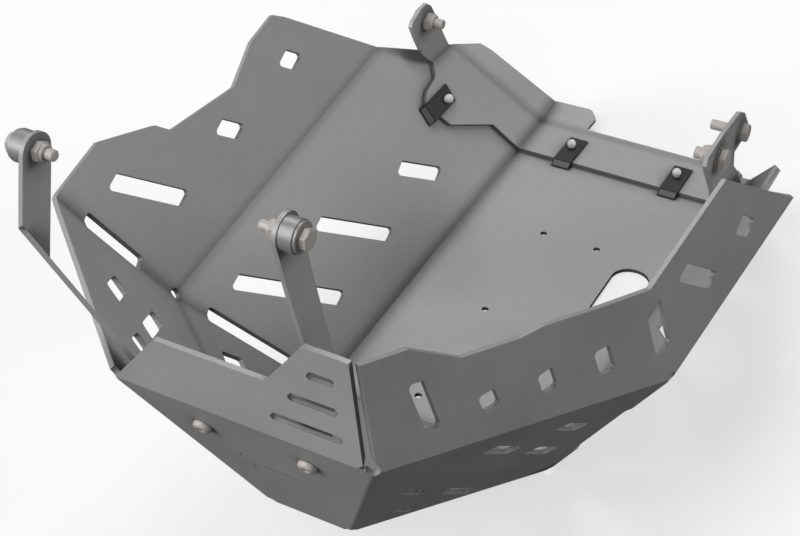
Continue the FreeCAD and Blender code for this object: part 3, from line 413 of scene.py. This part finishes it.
def dressed(name, points, faces, looks):
    """Piece with consistent outward faces, smooth but for its sharp edges, which rides on the part."""
    mesh = bpy.data.meshes.new(name)
    mesh.from_pydata(points, [], faces)
    shape = bmesh.new()
    shape.from_mesh(mesh)
    bmesh.ops.recalc_face_normals(shape, faces=shape.faces)
    shape.to_mesh(mesh)
    shape.free()
    for face in mesh.polygons:
        face.use_smooth = True
    mesh.set_sharp_from_angle(angle=SHARP_ANGLE)
    piece = bpy.data.objects.new(name, mesh)
    scene.collection.objects.link(piece)
    for look in looks:
        mesh.materials.append(look)
    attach(piece, "root")
    return piece


RIGHT = (1, 0, 0)
LEFT = (-1, 0, 0)
NOSE_IN = (0, 0.907791, 0.419422)
LUG_IN = (0.999993, -0.003728, 0)

# Bolts: name, place, axis, radius, flats, height of the head, grip, end and pitch of the thread
BOLTS = [
    ("front_left_bolt", (-166, -410, 390), RIGHT, 4, 13, 5.3, 23.5, 30, 1.25),
    ("front_right_bolt", (43.5, -406, 385), LEFT, 4, 13, 5.3, 23.5, 30, 1.25),
    ("rear_left_bolt", (-197.621, 192.337, 177.843), LUG_IN, 5, 17, 6.4, 16, 25, 1.5),
    ("rear_right_bolt", (136, 155, 134), LEFT, 6, 19, 7.5, 18, 24.5, 1.75),
    ("rear_right_upper_bolt", (136, 222, 125), LEFT, 5, 17, 6.4, 6, 31, 1.5),
]

# Nuts: name, place, axis, radius, flats and height
NUTS = [
    ("front_left_nut", (-150.5, -410, 390), RIGHT, 4, 13, 8),
    ("front_right_nut", (28, -406, 385), LEFT, 4, 13, 8),
    ("rear_left_nut", (-191.621, 192.315, 177.843), LUG_IN, 5, 17, 10),
    ("rear_right_nut", (130, 155, 134), LEFT, 6, 19, 12),
    ("nose_left_nut", (-41.5, -410.092, 207.465), NOSE_IN, 4, 13, 6.5),
    ("nose_right_nut", (41.5, -410.092, 207.465), NOSE_IN, 4, 13, 6.5),
]

# Nose screws and domed clip screws: name, place and axis, and the sizes that they share
BUTTONS = [("nose_left_screw", (-41.5, -416.901, 204.32), NOSE_IN),
           ("nose_right_screw", (41.5, -416.901, 204.32), NOSE_IN)]
DOMES = [("left_clip_screw", (-168.744, 190.83, 92.148), (-0.826502, -0.017585, -0.562659)),
         ("middle_clip_screw", (-64.4, 286, 9.5), (0, 0, -1)),
         ("right_clip_screw", (56.6, 286, 9.5), (0, 0, -1))]

BUTTON_SIZES = {"radius": 4, "socket": 4.8, "head": 4.4, "end": 16}
DOME_SIZES = {"radius": 2.5, "ball": 4.7, "neck": 4, "end": 5.2}

for name, place, axis, radius, flats, head, grip, end, pitch in BOLTS:
    rings = bolt_rings(radius, flats, head, grip, end, pitch)
    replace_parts(turned(name + "_dressed", rings, place, axis, steel), name)
for name, place, axis, radius, flats, height in NUTS:
    rings = nut_rings(radius, flats, height)
    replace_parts(turned(name + "_dressed", rings, place, axis, steel, closed=True), name)
for name, place, axis in BUTTONS:
    rings = button_rings(**BUTTON_SIZES)
    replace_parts(turned(name + "_dressed", rings, place, axis, steel), name)
for name, place, axis in DOMES:
    rings = dome_rings(**DOME_SIZES)
    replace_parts(turned(name + "_dressed", rings, place, axis, dome), name)

# Edge clips: a leaf with a lip that slopes down over the plate's edge, its face a lighter panel of
# painted reflection in a black frame

CLIPS = [
    ("left_clip", (-170.396, 157.288, 92.957), (0.562532, 0.011969, -0.826689), (-0.021272, 0.999774, 0)),
    ("middle_clip", (-62.4, 256.5, 8), (1, 0, 0), (0, 1, 0)),
    ("right_clip", (58.6, 256.5, 8), (1, 0, 0), (0, 1, 0)),
]
CLIP_HALF = 10
CLIP_PROFILE = [(47, 0), (47, 1.5), (24, 1.7), (2.0, 1.8), (0.6, 1.5), (-6.6, -2.9), (-6.0, -3.8),
                (1.6, 0.2), (2.6, 0)]

# Which side of the profile is the lip, the width of the frame on it, and how deep its panel lies
LIP_FACE = 4
LIP_FRAME = 1.5
LIP_DEPTH = 0.2


def edge_clip(name, place, sideways, run):
    """Clip of one bent profile, whose sloping face has a recessed panel with a painted reflection."""
    start = Vector(place)
    across, along = Vector(sideways), Vector(run)
    up = across.cross(along)
    points = []
    for side in (-CLIP_HALF, CLIP_HALF):
        points += [(start + across * side + along * y + up * z) * MILLIMETRE for y, z in CLIP_PROFILE]
    count = len(CLIP_PROFILE)
    faces = [(i, (i + 1) % count, (i + 1) % count + count, i + count) for i in range(count)]
    faces += [tuple(range(count)), tuple(reversed(range(count, 2 * count)))]
    piece = dressed(name + "_dressed", points, faces, [clip_black, clip_painted_reflection])
    shape = bmesh.new()
    shape.from_mesh(piece.data)
    shape.faces.ensure_lookup_table()
    panel = shape.faces[LIP_FACE]
    bmesh.ops.inset_region(shape, faces=[panel], thickness=LIP_FRAME * MILLIMETRE,
                             depth=-LIP_DEPTH * MILLIMETRE)
    # The panel takes the painted reflection
    panel.material_index = 1
    shape.to_mesh(piece.data)
    shape.free()
    return piece


for name, place, sideways, run in CLIPS:
    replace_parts(edge_clip(name, place, sideways, run), name)

# Floor and lights

FLOOR_HALF = 60.0
FLOOR_GLOW = 0.58
SUN_WIDTH = math.radians(30)

# Where the sky turns from its lower to its upper tone, with the horizon at the middle
SKY_LOW_STOP = 0.44
SKY_HIGH_STOP = 0.56


def make_floor():
    mesh = bpy.data.meshes.new("studio_floor")
    corners = [(-FLOOR_HALF, -FLOOR_HALF, 0), (FLOOR_HALF, -FLOOR_HALF, 0),
               (FLOOR_HALF, FLOOR_HALF, 0), (-FLOOR_HALF, FLOOR_HALF, 0)]
    mesh.from_pydata(corners, [], [(0, 1, 2, 3)])
    floor = bpy.data.objects.new("studio_floor", mesh)
    scene.collection.objects.link(floor)
    made = Tree("floor_pale")
    soft = made.noise(3.0, 2.0)
    tone = made.mixed(made.range(soft.outputs["Fac"], 0.3, 0.7), grey(0.39), grey(0.41))
    made.tree.links.new(tone, made.shader.inputs["Base Color"])
    made.shader.inputs["Roughness"].default_value = 0.9
    made.shader.inputs["Emission Color"].default_value = (1.0, 1.0, 1.0, 1.0)
    made.shader.inputs["Emission Strength"].default_value = FLOOR_GLOW
    mesh.materials.append(made.material)
    floor.visible_diffuse = False
    floor.visible_glossy = False


def soft_sun(name, azimuth, height, power):
    """Wide soft light from a compass direction, counted from +X towards +Y, and a height."""
    data = bpy.data.lights.new(name, "SUN")
    data.energy = power
    data.angle = SUN_WIDTH
    light = bpy.data.objects.new(name, data)
    scene.collection.objects.link(light)
    around, above = math.radians(azimuth), math.radians(height)
    source = Vector((math.cos(around) * math.cos(above), math.sin(around) * math.cos(above),
                     math.sin(above)))
    light.rotation_euler = (-source).to_track_quat("-Z", "Y").to_euler()


def make_world(above, below):
    """Dim even sky, a little brighter above than below."""
    world = bpy.data.worlds.new("studio")
    world.use_nodes = True
    scene.world = world
    tree = world.node_tree
    tree.nodes.clear()
    place = tree.nodes.new("ShaderNodeTexCoord")
    split = tree.nodes.new("ShaderNodeSeparateXYZ")
    ramp = tree.nodes.new("ShaderNodeValToRGB")
    sky = tree.nodes.new("ShaderNodeBackground")
    output = tree.nodes.new("ShaderNodeOutputWorld")
    height = tree.nodes.new("ShaderNodeMapRange")
    height.inputs["From Min"].default_value = -1.0
    height.inputs["From Max"].default_value = 1.0
    tree.links.new(place.outputs["Generated"], split.inputs[0])
    tree.links.new(split.outputs["Z"], height.inputs["Value"])
    tree.links.new(height.outputs["Result"], ramp.inputs["Fac"])
    tree.links.new(ramp.outputs["Color"], sky.inputs["Color"])
    tree.links.new(sky.outputs["Background"], output.inputs["Surface"])
    stops = ramp.color_ramp.elements
    stops[0].position, stops[0].color = SKY_LOW_STOP, (*grey(below), 1.0)
    stops[1].position, stops[1].color = SKY_HIGH_STOP, (*grey(above), 1.0)


make_floor()
make_world(0.04, 0.02)
soft_sun("key_left", 240, 52, 1.17)
soft_sun("key_back", 120, 52, 1.07)
soft_sun("side_left", 225, 18, 1.79)
soft_sun("side_right", 30, 18, 1.13)
soft_sun("front_low", 285, 18, 0.70)
soft_sun("front_right", 315, 18, 0.18)

scene.view_settings.view_transform = "Standard"
